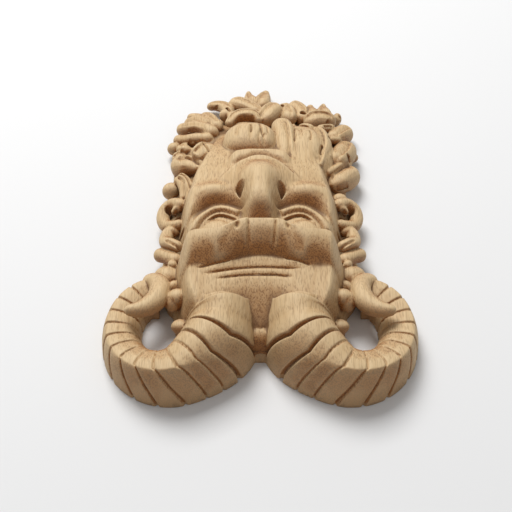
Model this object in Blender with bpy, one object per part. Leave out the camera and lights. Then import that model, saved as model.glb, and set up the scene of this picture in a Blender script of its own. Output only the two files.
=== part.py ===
"""Carved wooden mask of a horned satyr, lying on its flat back. Metres, +Z up, chin towards +Y."""

import math

import bmesh
import bpy
import numpy as np
from mathutils import Matrix

MM = 0.001

# The mask: the face and the hair keep their forms as shares of these three.
MASK_WIDTH = 170 * MM
MASK_LENGTH = 253 * MM
MASK_HEIGHT = 48 * MM

# Horns, across and up
RIM_WIDTH = 47 * MM
COLLAR_WIDTH = 42 * MM
COLLAR_HEIGHT = 35.5 * MM
SHOULDER_WIDTH = 34.5 * MM
BEND_WIDTH = 27.5 * MM
BEND_HEIGHT = 26 * MM
SIDE_WIDTH = 23.5 * MM
SIDE_HEIGHT = 17.5 * MM
END_WIDTH = 18 * MM
TIP_THICKNESS = 12 * MM

# Horns, along
COLLAR_LENGTH = 18 * MM
SECOND_RING_LENGTH = 10.5 * MM
THIN_RING_LENGTH = 8 * MM
RING_GROOVE_WIDTH = 2.8 * MM
RING_GROOVE_DEPTH = 1.5 * MM
RIM_DEPTH = 3 * MM

# Carving of the face
WRINKLE_WIDTH = 3.4 * MM
WRINKLE_DEPTH = 1.7 * MM
FROWN_WIDTH = 3 * MM
FROWN_DEPTH = 1.9 * MM
EYEBALL_WIDTH = 25 * MM
BAG_HEIGHT = 2.4 * MM
NOSTRIL_WIDTH = 6 * MM
NOSTRIL_DEPTH = 5.5 * MM
LIP_STEP = 4.5 * MM
MOUTH_WIDTH = 3.6 * MM
MOUTH_DEPTH = 2.6 * MM
STRAND_WIDTH = 4 * MM
STRAND_DEPTH = 1.6 * MM
BED_HEIGHT = 6 * MM

# Fineness of the surface
CELL = 1 * MM
VOXEL = 0.95 * MM
TRIANGLES = 9000

# The drawing of the mask is 170 wide, 253 long and 48 high, and these are its units.
ACROSS = MASK_WIDTH / 170
ALONG = MASK_LENGTH / 253
UP = MASK_HEIGHT / 48
UNITS = (ACROSS, ALONG, UP)
FLOOR = -6

# Heights along the middle and the side of the forehead, and outlines seen from above
FOREHEAD_MIDDLE = [
    (-80, -20), (-70, -8), (-62, 5), (-55, 14), (-49, 20.5), (-42, 25.6), (-36, 29), (-31, 30.6),
    (-26, 31.8), (-20, 33), (-16.5, 34.4), (-12, 38), (-8, 41.6), (-3, 46), (0, 47.2), (6, 46),
]
FOREHEAD_SIDE = [
    (-80, 4), (-60, 22), (-50, 28.5), (-40, 31.2), (-30, 32), (-22, 32.4), (-18, 33),
    (-14, 35.4), (-10, 39.2), (-6, 41.8), (-2, 42.3), (1, 41.5), (6, 39),
]
BROW_LINE = [
    (0, -0.6), (8, -0.8), (12, -1.8), (16, -3.8), (20, -5.4), (26, -6.2), (31, -5.6), (36, -5.2),
    (41, -7), (46, -11), (60, -20),
]
FACE_MIDDLE = [
    (-12, 29), (0, 30), (10, 31.5), (20, 31.5), (30, 31.5), (40, 33), (50, 33.5), (58, 32), (66, 30),
    (71, 28), (76, 27), (84, 24), (95, 18), (112, 8), (124, -12), (160, -30),
]
FACE_HALF = [
    (-70, 30), (-55, 36), (-40, 42.5), (-10, 45), (10, 46.5), (28, 47), (40, 44.5), (50, 40.5),
    (60, 37), (70, 33), (80, 29), (95, 22), (112, 8),
]
BED_HALF = [
    (-80, -20), (-66, -14), (-60, 0), (-55, 16), (-50, 40), (-38, 45.5), (-30, 52), (-20, 55),
    (0, 55), (20, 55), (30, 57), (40, 56.5), (50, 53), (75, 54), (90, 54), (105, 53), (120, 48),
    (130, 42), (138, 32),
    (145, 18), (152, 4), (162, -10),
]
NOSE_LINE = [
    (2, 31), (8, 34), (12.6, 37.6), (18, 43.2), (24, 46.2), (32, 47.2), (42, 47.2), (48, 45.6),
    (53, 42), (57, 36.5), (60, 31), (66, 20), (76, -40),
]
NOSE_HALF = [(2, 9), (14, 8.6), (22, 9), (30, 9.6), (40, 11), (48, 10.5), (53, 10), (58, 8), (66, 6)]
NOSE_EDGE = [(2, 3.4), (20, 3.6), (30, 2.8), (40, 2.4), (60, 2.4)]
MOUTH_LINE = [(0, 60), (5, 59.6), (8, 58.2), (12, 56.4), (16, 54), (20, 50), (23, 45.5), (26, 40)]
MOUTH_CREASE = [(-21, 48), (-16, 54), (-9, 58.2), (0, 60), (9, 58), (15.5, 53.6), (22, 46.4)]
LIP_LINE = [(0, 71), (10, 70.5), (16, 68.5), (20, 65), (26, 58)]
LID_LINE = [
    (12.6, 12.6), (14.5, 13.4), (17.5, 15.2), (21, 16.8), (24.5, 17), (28, 15), (30.4, 12), (32.2, 8.4),
    (33, 5),
]
# The lid, the bag below it and the hollow, by the distance from the edge of the eyeball, as shares
# of the bag's height
LID_PROFILE = [
    (-3, 0), (-1.2, 0), (0, -0.6), (1.2, 0.45), (2.6, 0.4), (4.6, 1), (6.2, 0.75), (8, -0.25),
    (10.5, -1.25), (14, -1.35), (18, -0.4), (22, 0), (40, 0),
]
WRINKLES = [
    ([(-36, -25.4), (-21, -22), (-8, -17.6), (3.4, -16.6), (14, -19), (28.5, -24.2)], 1.25),
    ([(-33, -29.2), (-21, -26.6), (-8, -24.2), (5, -23.8), (14, -24.5), (24, -25.8)], 1.0),
    ([(-26, -32.4), (-17, -30.4), (-8, -28.8), (6, -28.6), (13, -29.6), (20, -31.4)], 0.8),
]
FROWNS = [
    ([(8.8, 1), (8, -9), (7, -17)], 1.0, 1.0),
    ([(-6.8, 1), (-6.4, -9), (-6.7, -17)], 1.4, 0.9),
    ([(15, -3.4), (17.2, -9), (20.2, -14), (24, -20)], 1.6, 1.0),
    ([(-12.4, -3.6), (-15.4, -8), (-19, -14), (-23, -20)], 3, 1),
    ([(24, -16), (29, -20), (36, -20)], 5, 0.8),
    ([(-24, -16), (-30, -19), (-37, -19)], 5, 0.8),
]
FROWN_PITS = [(15.2, -5), (-12.6, -5)]
STRANDS = [
    [(0.5, 71), (-0.5, 80), (2, 92)],
    [(-6, 72), (-7.5, 82), (-6, 95)],
    [(-14, 74), (-15, 82), (-12, 93)],
]

# The line of the right horn seen from above, from its collar round to the far end of its rings
HORN_LINE = [
    (21, -42), (21.4, -51), (25.2, -63), (34, -73.2), (46, -79.4), (57.2, -78.2), (67, -71.2),
    (73.2, -60), (75, -47.5), (71.8, -34.4), (64, -25.4), (56, -25),
]
# Its size at shares of that line, the outline of its keeled section, and how far its rings lean
HORN_WIDTHS = [
    (0, RIM_WIDTH), (0.06, 0.3 * RIM_WIDTH + 0.7 * COLLAR_WIDTH), (0.14, COLLAR_WIDTH),
    (0.28, SHOULDER_WIDTH), (0.42, BEND_WIDTH), (0.6, SIDE_WIDTH), (1, END_WIDTH),
]
HORN_HEIGHTS = [
    (0, COLLAR_HEIGHT), (0.1, COLLAR_HEIGHT), (0.42, BEND_HEIGHT), (0.68, SIDE_HEIGHT),
    (1, 0.9 * SIDE_HEIGHT),
]
KEEL_ACROSS = [(0, 1), (0.12, 0.93), (0.3, 0.64), (0.55, 0.1), (0.8, -0.62), (0.9, -0.9), (1, -1)]
KEEL_UP = [(0, 0), (0.12, 0.52), (0.3, 1), (0.55, 0.97), (0.8, 0.74), (0.9, 0.45), (1, 0)]
RING_SLANT = [(0, 3), (0.25, 9), (0.45, 9), (0.6, 4), (0.8, 0), (1, -1)]
# Its smooth tip, folded over the rings: place, height and share of the tip's thickness
TIP_LINE = [
    (65, -18.5, 9, 0.9), (59.5, -18, 12, 0.97), (55.6, -22.5, 15, 1), (54.8, -29.5, 17.5, 1),
    (56.6, -36.5, 19, 0.98), (60.4, -41.6, 20, 0.9), (64.6, -44.6, 21, 0.76), (69, -46, 22, 0.58),
    (72.6, -46, 22.6, 0.42),
]

# Locks of hair: place, height and half thickness along each. The first list is mirrored.
SIDE_LOCKS = [
    [(3, -52, 14, 7), (1.5, -60, 9, 7), (0.5, -67, 4, 6)],
    [(45, -18, 14, 8), (52, -13, 10, 7.5), (54, -6, 7, 6)],
    [(45, -27, 15, 8), (50, -22, 13, 7)],
    [(48, -5, 9, 6), (53.5, 0.5, 5, 5.6)],
    [(45, -6, 15, 5), (52, 1, 12.5, 4), (57, 6, 9, 4.2), (59.6, 8, 7, 4)],
    [(47.5, -11, 17, 2.6), (50.5, -6, 17, 2.4)],
    [(44, 3, 18, 3.2), (50, 7, 17, 3.6), (54, 13, 13, 4), (52.5, 21, 12, 3.8), (47, 20.5, 14, 3)],
    [(44.5, 37, 18, 4), (50.5, 42.5, 14, 4), (55.5, 41, 11, 4), (57, 35, 9.5, 4),
     (54.5, 28.5, 10, 4), (49, 24.5, 14, 3.6), (44, 24.5, 17, 3)],
    [(46, 37.5, 17, 3), (49, 36.5, 16, 2.2), (51, 34, 14, 1.8)],
    [(40, -36, 18, 6), (46, -34, 17, 5.5), (49, -40, 14, 4)],
    [(42, -45, 13, 7), (43.5, -52, 8, 5)],
    [(41, -55, 5, 5.5), (45, -56, 4, 4)],
]
BEARD_LOCKS = [
    # left of the beard, seen from the horns
    [(-50.8, 66.3, 12, 2.6), (-47.2, 60.8, 14, 3), (-45, 52, 15.5, 3), (-44.9, 43.5, 16, 2.6)],
    [(-48.3, 67.5, 14, 2.6), (-43.7, 58.5, 17, 3), (-41.4, 48.9, 18.5, 3), (-41.6, 39.5, 19, 2.6)],
    [(-52, 76, 6, 8), (-47.7, 76.8, 10, 9), (-41.4, 74.1, 15, 7), (-35, 67, 19, 4)],
    [(-53, 86, 6, 5.5), (-46.2, 91.7, 10, 5)],
    [(-51, 98, 7, 4.6), (-42, 92.9, 12, 4.6)],
    [(-40.2, 77.5, 14, 6), (-34.2, 81.5, 17.5, 8.2), (-30, 90, 17, 7)],
    [(-29, 97.4, 17, 4), (-40, 100.8, 14, 3.8), (-47.3, 104.6, 9, 4), (-53.8, 109, 6, 3.8)],
    [(-27.3, 100, 17, 5), (-33.9, 108.1, 15.5, 4.4), (-41.9, 113.6, 12, 4.6), (-52.3, 118, 6, 4.2)],
    [(-30, 110, 14, 6), (-39, 121, 9, 6), (-48, 125.5, 4, 4)],
    [(-46.8, 133.3, 4, 2.6), (-41, 130.4, 6, 3.4), (-33, 124, 9, 4)],
    [(-36, 129, 7, 5), (-31.8, 120.5, 11.5, 5.4), (-25.6, 107.1, 16, 4.4)],
    [(-34.4, 143.6, 4, 2.4), (-28.3, 143, 6, 3.4), (-22.5, 138.4, 8, 4.2), (-20.3, 129.8, 11, 4.4),
     (-23.7, 122.4, 13, 4)],
    [(-19, 131.4, 11.5, 2.4), (-18, 119.1, 15, 2.4)],
    [(-18.3, 142, 7, 5), (-13, 137.6, 10.5, 6), (-5.8, 132.4, 12.5, 5), (1, 126.2, 14, 4)],
    [(-20.5, 109, 18, 2.4), (-14.9, 116.8, 18.6, 4), (-7.6, 118.8, 18.6, 4.4), (-2.5, 117.5, 18, 4),
     (1, 112, 18, 2.4)],
    [(0.9, 112.8, 17, 5), (5.7, 123, 14.5, 7), (11.3, 134.6, 10.5, 6.4)],
    [(0.3, 135, 10, 6.5), (2.6, 149.1, 6, 5), (4.7, 159.7, 4, 1.8)],
    [(-4.3, 139.3, 9, 6), (-6.4, 150.1, 6, 3.8), (-7.4, 158.5, 5, 1.2)],
    # right of the beard
    [(13.9, 137.8, 9, 5), (18.1, 129.4, 11, 5.4), (18.8, 116.9, 15, 5)],
    [(18.9, 141.8, 6, 4.6), (24, 138.6, 7, 5.4), (27.9, 130, 9, 5.4), (28, 120, 12, 5)],
    [(12.6, 110, 19, 6), (14.8, 97.4, 22, 7.2), (16, 76, 25, 7.2)],
    [(25, 101.7, 19, 4.4), (24, 88, 22, 4.8), (22, 72, 25, 3)],
    [(20.5, 108.5, 18.5, 1.6), (23.6, 103.4, 20.5, 2.2), (28.5, 104.1, 20.5, 3), (34, 102, 19, 4)],
    [(33, 106, 16, 4.4), (36.1, 98.3, 17.5, 6.6), (37.5, 86.8, 18.5, 7), (35.8, 73.2, 22, 4.8),
     (34, 62.8, 25, 2.4)],
    [(28.9, 116.3, 13, 6), (35.8, 120.5, 11.5, 7.4), (42.6, 121.2, 10, 7.2), (46.4, 117.4, 9, 5.5)],
    [(32.5, 124, 9, 6.5), (33.2, 133.5, 7, 5.2), (33.4, 144, 5, 1.6)],
    [(41.6, 125, 9, 6.5), (41.4, 134, 7, 5), (42, 145.4, 5, 1.2)],
    [(36.1, 106.3, 18, 2.2), (41.7, 109.1, 15.5, 3), (46.6, 114.4, 12, 2.4)],
    [(46.5, 132.6, 5, 5), (52, 127.6, 5, 5)],
    [(57, 117.8, 5, 5.6), (52.4, 111.6, 8, 6.4), (44.3, 99.1, 14, 5)],
    [(54.5, 102.2, 6, 6.4), (51.9, 90, 10, 7.8), (43.6, 73.6, 17, 6.4)],
    [(40.4, 94.8, 17.5, 2), (45.6, 98.2, 15.5, 2.8), (50.2, 100.9, 12, 3.6)],
    [(61.5, 96.4, 3.4, 2.6), (54.7, 91.3, 5, 3.4)],
    [(39.6, 90.2, 19.5, 1.8), (43, 86, 19, 2), (41.5, 75.1, 21, 2.2)],
    [(39.4, 63.4, 19, 2.4), (48.8, 73.4, 16, 2.6), (55.6, 83.5, 9, 2.8)],
    [(43.3, 56.8, 15, 6), (51.4, 68.7, 10, 8), (58.2, 78, 5, 6.4)],
]
KNOBS = [(-53.7, 60.6, 7.4, 5.4), (-53.9, 99.9, 6.6, 4.2), (47.5, 48, 11, 5)]  # place, height and radius


def ease(start, end, value):
    share = np.clip((value - start) / (end - start), 0, 1)
    return share * share * (3 - 2 * share)


def through(table, value):
    """A smooth curve through the table's (place, height) pairs, read at value."""
    x, y = np.array(table, float).T
    step = np.diff(x)
    slope = np.diff(y) / step
    inner = (slope[1:] * step[:-1] + slope[:-1] * step[1:]) / (step[1:] + step[:-1])
    inner[slope[1:] * slope[:-1] <= 0] = 0
    tangent = np.concatenate([slope[:1], inner, slope[-1:]])
    value = np.clip(value, x[0], x[-1])
    k = np.clip(np.searchsorted(x, value) - 1, 0, len(x) - 2)
    t = (value - x[k]) / step[k]
    bend = step[k] * (tangent[k] * t * (1 - t) ** 2 - tangent[k + 1] * t * t * (1 - t))
    return y[k] * (1 + 2 * t) * (1 - t) ** 2 + y[k + 1] * t * t * (3 - 2 * t) + bend


def flow(points, spacing):
    """Points spaced evenly along a smooth curve through the given ones."""
    points = np.array(points, float)
    padded = np.vstack([2 * points[0] - points[1], points, 2 * points[-1] - points[-2]])
    t = np.linspace(0, 1, 24, endpoint=False)[:, None]
    found = []
    for a, b, c, d in zip(padded[:-3], padded[1:-2], padded[2:-1], padded[3:]):
        third = (3 * b - a - 3 * c + d) * t**3
        found.append(0.5 * (2 * b + (c - a) * t + (2 * a - 5 * b + 4 * c - d) * t**2 + third))
    found = np.vstack(found + [points[-1:]])
    reach = lengths(found)
    at = np.linspace(0, reach[-1], max(int(reach[-1] / spacing) + 1, 4))
    return np.stack([np.interp(at, reach, column) for column in found.T], axis=1)


def lengths(line):
    """How far along a line each of its points is."""
    return np.concatenate([[0], np.cumsum(np.linalg.norm(np.diff(line[:, :3], axis=0), axis=1))])


def soft_max(a, b, blend):
    share = np.clip(0.5 + (a - b) / (2 * blend), 0, 1)
    return b * (1 - share) + a * share + blend * share * (1 - share)


def hill(x, y, centre, radii):
    return np.exp(-(((x - centre[0]) / radii[0]) ** 2) - ((y - centre[1]) / radii[1]) ** 2)


def dome(x, y, centre, radii, power=2):
    """One at the middle of an oval, and nothing from its edge outwards."""
    far = np.abs((x - centre[0]) / radii[0]) ** power + np.abs((y - centre[1]) / radii[1]) ** power
    return np.clip(1 - far, 0, 1)


def nearest(x, y, points):
    """Distance to a smooth path, the share of its length at the nearest point, and on which side."""
    path = flow(points, 2)
    best = np.full(x.shape, np.inf)
    share = np.zeros(x.shape)
    side = np.zeros(x.shape)
    for k, (a, b) in enumerate(zip(path[:-1], path[1:])):
        line = b - a
        t = np.clip(((x - a[0]) * line[0] + (y - a[1]) * line[1]) / (line @ line), 0, 1)
        away = np.hypot(x - a[0] - t * line[0], y - a[1] - t * line[1])
        closer = away < best
        best[closer] = away[closer]
        share[closer] = ((k + t) / (len(path) - 1))[closer]
        side[closer] = np.sign(line[0] * (y - a[1]) - line[1] * (x - a[0]))[closer]
    return best, share, side


def gouge(x, y, points, width, fade=0.18):
    """Depth share of a V cut along a path: one on its line, running out at both ends."""
    away, share, _ = nearest(x, y, points)
    ends = ease(0, fade, share) * ease(0, fade, 1 - share)
    return np.clip(1 - away / (width * np.maximum(ends, 0.2) / 2), 0, 1) * ends


def forehead(x, y):
    """From between the horns up to the frowning brow."""
    off = np.abs(x)
    from_brow = y - through(BROW_LINE, off) - 1
    side = np.minimum(off / 36, 1.3) ** 2
    height = through(FOREHEAD_MIDDLE, from_brow) * (1 - side) + through(FOREHEAD_SIDE, from_brow) * side
    for points, depth in WRINKLES:
        cut = gouge(x, y, points, WRINKLE_WIDTH / ALONG, 0.08) ** 0.8
        height = height - depth * WRINKLE_DEPTH / UP * cut
    for points, width, depth in FROWNS:
        cut = gouge(x, y, points, width * FROWN_WIDTH / ACROSS, 0.3)
        height = height - depth * FROWN_DEPTH / UP * cut
    for pit in FROWN_PITS:
        height = height - 1.3 * FROWN_DEPTH / UP * hill(x, y, pit, (1.6, 2.2))
    half = through(FACE_HALF, y)
    return height - 26 * ease(half - 7, half + 5, off) - 50 * ease(half + 3, half + 9, off)


def eye(x, y, height):
    """The socket, the cheek, the blank eyeball, its lower lid and the bag below, on the right side."""
    height = height - 4 * hill(x, y, (24, 0), (14, 9))
    height = height + 6.5 * hill(x, y, (29, 36.5), (13, 7.5)) + 3.5 * hill(x, y, (41, 22), (6, 14))
    away, share, side = nearest(x, y, LID_LINE)
    shown = np.where(away < 8, ease(0, 0.12, share) * ease(0, 0.06, 1 - share), 1) * ease(23, 20, away)
    profile = through(LID_PROFILE, away * side) * shown * (x > 6) * (y > -2)
    height = height + BAG_HEIGHT / UP * profile
    ball = dome(x, y, (23.5, 7), (EYEBALL_WIDTH / ACROSS / 2, 11))
    return soft_max(height, np.where((side < 0) & (ball > 0), 23 + 9 * np.sqrt(ball), FLOOR), 0.3)


def nose_and_mouth(x, y, height):
    """The beaked nose over the upper lip, the smiling mouth and the lower lip."""
    off = np.abs(x)
    mouth = y - through(MOUTH_LINE, off)
    lip = y - through(LIP_LINE, off)
    upper = 38.5 - 5.4 * (off / 21) ** 2 - 4 * np.minimum((y - 48) / 16, 0) ** 2
    upper = upper - LIP_STEP / UP * ease(-0.4, 2.4, mouth)
    upper = upper - 40 * ease(1.5, 6, mouth) - 40 * ease(24, 34, off)
    height = soft_max(height, upper, 1.5)
    bell = np.exp(-((off / through(NOSE_HALF, y)) ** through(NOSE_EDGE, y)))
    height = np.maximum(height, height + (through(NOSE_LINE, y) - height) * bell)
    lower = 30.4 + 3.6 * ease(0, 9, mouth) - 9 * ease(-1, 4, lip) - 40 * ease(3, 9, lip)
    lower = lower - 14 * ease(15, 24, off) - 40 * ease(22, 30, off)
    height = soft_max(height, np.where(mouth > -1, lower, FLOOR), 0.6)
    height = height - MOUTH_DEPTH / UP * gouge(x, y, MOUTH_CREASE, MOUTH_WIDTH / ALONG, 0.25)
    for way, centre in ((-1, 11.2), (1, 12.2)):
        spread = NOSTRIL_WIDTH / ACROSS / 2 * np.clip((y - 29.5) / 8, 0.2, 1)
        pit = np.clip(1 - ((way * x - centre) / spread) ** 2 - ((y - 36) / 5.4) ** 2, 0, 1)
        height = height - NOSTRIL_DEPTH / UP * np.sqrt(pit) * (0.35 + 0.65 * ease(42, 32, y))
    return height


def relief(x, y):
    """Height of the face, and of the bed that the hair lies on."""
    off = np.abs(x)
    half = through(FACE_HALF, y)
    lower = through(FACE_MIDDLE, y) - 4 * (off / 36) ** 2
    lower = lower - 24 * ease(half - 8, half + 5, off) - 50 * ease(half + 3, half + 9, off)
    lower = nose_and_mouth(x, y, eye(-x, y, eye(x, y, lower)))
    crest = through(BROW_LINE, off)
    upper = forehead(x, y)
    height = upper + (lower - upper) * ease(0, 4.5, y - crest)
    chin = dome(x, y, (-5.6, 85), (17, 15), 2.4)
    height = soft_max(height, np.where(chin > 0, 20 + 17.5 * chin**0.55, FLOOR), 0.8)
    for points in STRANDS:
        height = height - STRAND_DEPTH / UP * gouge(x, y, points, STRAND_WIDTH / ACROSS, 0.3)
    inside = through(BED_HALF, y) - off
    bed = BED_HEIGHT / UP + 11 * ease(0, 20, inside) * ease(132, 96, y) - 60 * ease(1.5, -2.5, inside)
    return np.maximum(soft_max(height, bed, 1), FLOOR)


def relief_mesh():
    """The face and the bed of the hair as one closed block."""
    x, y = np.meshgrid(np.arange(-64, 64, CELL / ACROSS), np.arange(-84, 164, CELL / ALONG))
    under = np.full_like(x, 1.5 * FLOOR)
    points = np.concatenate([np.stack([x, y, z], -1).reshape(-1, 3) for z in (relief(x, y), under)])
    grid = np.arange(x.size).reshape(x.shape)
    top = np.stack([grid[:-1, :-1], grid[:-1, 1:], grid[1:, 1:], grid[1:, :-1]], -1).reshape(-1, 4)
    rim = np.concatenate([grid[0], grid[1:, -1], grid[-1, -2::-1], grid[-2:0:-1, 0]])
    after = np.roll(rim, -1)
    side = np.stack([rim, rim + x.size, after + x.size, after], 1)
    return points, np.concatenate([top, top[:, ::-1] + x.size, side]).tolist()


def skin_over(rings):
    """One closed skin over rings of points, with a flat cap at each end."""
    grid = np.arange(rings.shape[0] * rings.shape[1]).reshape(rings.shape[:2])
    after = np.roll(grid, -1, axis=1)
    sides = np.stack([grid[:-1], after[:-1], after[1:], grid[1:]], -1).reshape(-1, 4)
    return rings.reshape(-1, 3), sides.tolist() + [grid[0, ::-1].tolist(), grid[-1].tolist()]


def ring_grooves(place, length):
    """How deep the grooves between the horn's rings cut, as a share of their depth."""
    collar_end = (RIM_DEPTH + COLLAR_LENGTH) / ALONG
    thin = np.arange(collar_end + SECOND_RING_LENGTH / ALONG, length - 4, THIN_RING_LENGTH / ALONG)
    depth = np.zeros_like(place)
    for k, edge in enumerate([collar_end] + list(thin)):
        size = 1.9 if k < 2 else 1
        away = np.abs(place - edge) / (size * RING_GROOVE_WIDTH / ALONG / 2)
        depth = np.maximum(depth, size**0.5 * np.clip(1 - away, 0, 1))
    return depth


def ringed_horn():
    """The ringed part of the right horn, round at its collar and keeled along the rest."""
    line = flow(HORN_LINE, CELL / ALONG)
    along = lengths(line)[:, None]
    share = along / along[-1]
    keel = 0.95 * ease(0.22, 0.4, share)
    turn = np.linspace(0, 1, 41)
    across = np.cos(math.pi * turn) * (1 - keel) + through(KEEL_ACROSS, turn) * keel
    rise = np.abs(np.sin(math.pi * turn)) ** 0.75 * (1 - keel) + through(KEEL_UP, turn) * keel
    lean = np.clip(1 - turn / 0.3, 0, 1) - 0.35 * np.clip((turn - 0.3) / 0.7, 0, 1)
    place = along + through(RING_SLANT, share) * lean
    rim, collar = RIM_DEPTH / ALONG, COLLAR_LENGTH / ALONG
    hollow = 0.8 * np.clip(1 - np.abs(place - rim - collar / 2) / (collar / 2), 0, 1)
    inward = RING_GROOVE_DEPTH * (ring_grooves(place, along[-1, 0]) + hollow)
    inward = inward + RIM_DEPTH * ease(rim + 0.6, rim - 1.2, place)
    middle = 0.3 * through(HORN_HEIGHTS, share)
    out = through(HORN_WIDTHS, share) / 2 * across
    over = through(HORN_HEIGHTS, share) * rise - middle
    keep = 1 - inward / np.maximum(np.hypot(out, over), 4 * MM)
    out, over = out * keep, np.where(rise > 0.02, middle + over * keep, 0)
    forward = np.gradient(line, axis=0)
    forward /= np.linalg.norm(forward, axis=1)[:, None]
    x = line[:, :1] + forward[:, 1:] * out / ACROSS
    y = line[:, 1:] - forward[:, :1] * out / ALONG
    rings = np.stack([x, y, over / UP], -1)
    below = rings[:, [0, -1]] + (0, 0, FLOOR)
    return skin_over(np.concatenate([below[:, :1], rings, below[:, 1:]], 1)[:, ::-1])


def rounded(line):
    """The line with its half thickness drawn in to nothing over the last of each end."""
    reach = lengths(line)
    for from_end, size in ((reach, line[0, 3]), (reach[-1] - reach, line[-1, 3])):
        line[:, 3] *= np.sqrt(1 - (1 - np.clip(from_end / size, 0.03, 1)) ** 2)
    return line


def locks_and_tips():
    """Every round bar of the carving: the locks of hair and the smooth tips of the horns."""
    thickness = TIP_THICKNESS / ACROSS / 2
    paired = SIDE_LOCKS + [np.array(TIP_LINE) * (1, 1, 1, thickness)]
    single = [np.array(points, float) for points in BEARD_LOCKS]
    for points in paired:
        single += [np.array(points) * (way, 1, 1, 1) for way in (1, -1)]
    return [rounded(flow(points, 1)) for points in single]


def bars_mesh(lines):
    """Round bars along the lines, each as thick as its points say, made as one curve with a bevel."""
    curve = bpy.data.curves.new("bars", "CURVE")
    curve.dimensions = "3D"
    curve.bevel_depth = ACROSS
    curve.bevel_resolution = 6
    curve.use_fill_caps = True
    for line in lines:
        spline = curve.splines.new("POLY")
        spline.points.add(len(line) - 1)
        for point, (x, y, z, thick) in zip(spline.points, line):
            point.co = (x * ACROSS, y * ALONG, z * UP, 1)
            point.radius = thick
    bars = add_object("bars", curve)
    mesh = evaluated(bars)
    bpy.data.objects.remove(bars)
    return mesh


def plain_mesh(points, faces):
    mesh = bpy.data.meshes.new("solid")
    mesh.from_pydata((points * UNITS).tolist(), [], [tuple(face) for face in faces])
    return mesh


def add_object(name, data):
    obj = bpy.data.objects.new(name, data)
    bpy.context.scene.collection.objects.link(obj)
    return obj


def evaluated(obj):
    """A mesh of the object as its modifiers leave it."""
    graph = bpy.context.evaluated_depsgraph_get()
    return bpy.data.meshes.new_from_object(obj.evaluated_get(graph))


def rough_solids():
    """The face, both horns and all locks as closed solids that overlap, in one mesh."""
    together = bmesh.new()
    together.from_mesh(plain_mesh(*relief_mesh()))
    points, faces = ringed_horn()
    together.from_mesh(plain_mesh(points, faces))
    together.from_mesh(plain_mesh(points * (-1, 1, 1), [face[::-1] for face in faces]))
    together.from_mesh(bars_mesh(locks_and_tips()))
    for x, y, z, radius in KNOBS:
        place = Matrix.Translation((x * ACROSS, y * ALONG, z * UP))
        size = radius * ACROSS
        bmesh.ops.create_uvsphere(together, u_segments=24, v_segments=14, radius=size, matrix=place)
    mesh = bpy.data.meshes.new("rough")
    together.to_mesh(mesh)
    together.free()
    return mesh


def one_skin(mesh):
    """The overlapping solids as one body."""
    rough = add_object("rough", mesh)
    remesh = rough.modifiers.new("one skin", "REMESH")
    remesh.mode = "VOXEL"
    remesh.voxel_size = VOXEL
    skin = evaluated(rough)
    bpy.data.objects.remove(rough)
    return skin


def below_the_back():
    """What the flat back cuts away."""
    mesh = bpy.data.meshes.new("below_the_back")
    shape = bmesh.new()
    bmesh.ops.create_cube(shape, size=1)
    bmesh.ops.scale(shape, vec=(2 * MASK_WIDTH, 2 * MASK_LENGTH, 2 * MASK_HEIGHT), verts=shape.verts)
    bmesh.ops.translate(shape, vec=(0, 0, -MASK_HEIGHT), verts=shape.verts)
    shape.to_mesh(mesh)
    shape.free()
    cutter = add_object("below_the_back", mesh)
    cutter.hide_render = True
    cutter.display_type = "WIRE"
    return cutter


def carved():
    """The carving with fewer faces and its back cut flat, its box centred over the origin."""
    block = add_object("block", one_skin(rough_solids()))
    fewer = block.modifiers.new("fewer faces", "DECIMATE")
    fewer.ratio = TRIANGLES / (2 * len(block.data.polygons))
    flat = block.modifiers.new("flat back", "BOOLEAN")
    flat.operation = "DIFFERENCE"
    flat.solver = "EXACT"
    flat.object = below_the_back()
    mesh = evaluated(block)
    bpy.data.objects.remove(block)
    corners = np.array([corner.co[:] for corner in mesh.vertices])
    low, high = corners.min(0), corners.max(0)
    mesh.transform(Matrix.Translation((-(low[0] + high[0]) / 2, -(low[1] + high[1]) / 2, -low[2])))
    return mesh


def oak():
    material = bpy.data.materials.new("carved_oak")
    material.use_nodes = True
    shader = material.node_tree.nodes["Principled BSDF"]
    shader.inputs["Base Color"].default_value = (0.62, 0.42, 0.25, 1)
    shader.inputs["Roughness"].default_value = 0.6
    return material


for obj in list(bpy.data.objects):
    bpy.data.objects.remove(obj)
mask = add_object("satyr_mask", carved())
mask.data.materials.clear()
mask.data.materials.append(oak())
mask.data.shade_smooth()
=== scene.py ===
import math

import bmesh
import bpy
import numpy as np
from mathutils import Matrix, Vector


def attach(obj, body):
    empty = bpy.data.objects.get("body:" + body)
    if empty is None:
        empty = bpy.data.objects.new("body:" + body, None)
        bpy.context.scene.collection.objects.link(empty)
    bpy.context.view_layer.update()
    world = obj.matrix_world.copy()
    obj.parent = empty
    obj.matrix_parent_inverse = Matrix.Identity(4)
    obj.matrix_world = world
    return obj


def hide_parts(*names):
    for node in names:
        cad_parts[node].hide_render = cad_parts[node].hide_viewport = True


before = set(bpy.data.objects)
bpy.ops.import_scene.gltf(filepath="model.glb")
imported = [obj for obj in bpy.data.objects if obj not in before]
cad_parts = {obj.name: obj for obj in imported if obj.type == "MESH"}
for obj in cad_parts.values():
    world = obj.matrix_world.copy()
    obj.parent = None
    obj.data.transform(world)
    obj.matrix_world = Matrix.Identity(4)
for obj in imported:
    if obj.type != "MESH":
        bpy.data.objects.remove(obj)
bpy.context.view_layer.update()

mm = 0.001
node = "satyr_mask"

# Lengths and places below are millimetres: x across, y from the brow (0) towards the beard,
# z up from the flat back. The middle of the mask in that drawing is middleY.
middleY = 33.1


def ease(start, end, value):
    share = np.clip((value - start) / (end - start), 0, 1)
    return share * share * (3 - 2 * share)


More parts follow.
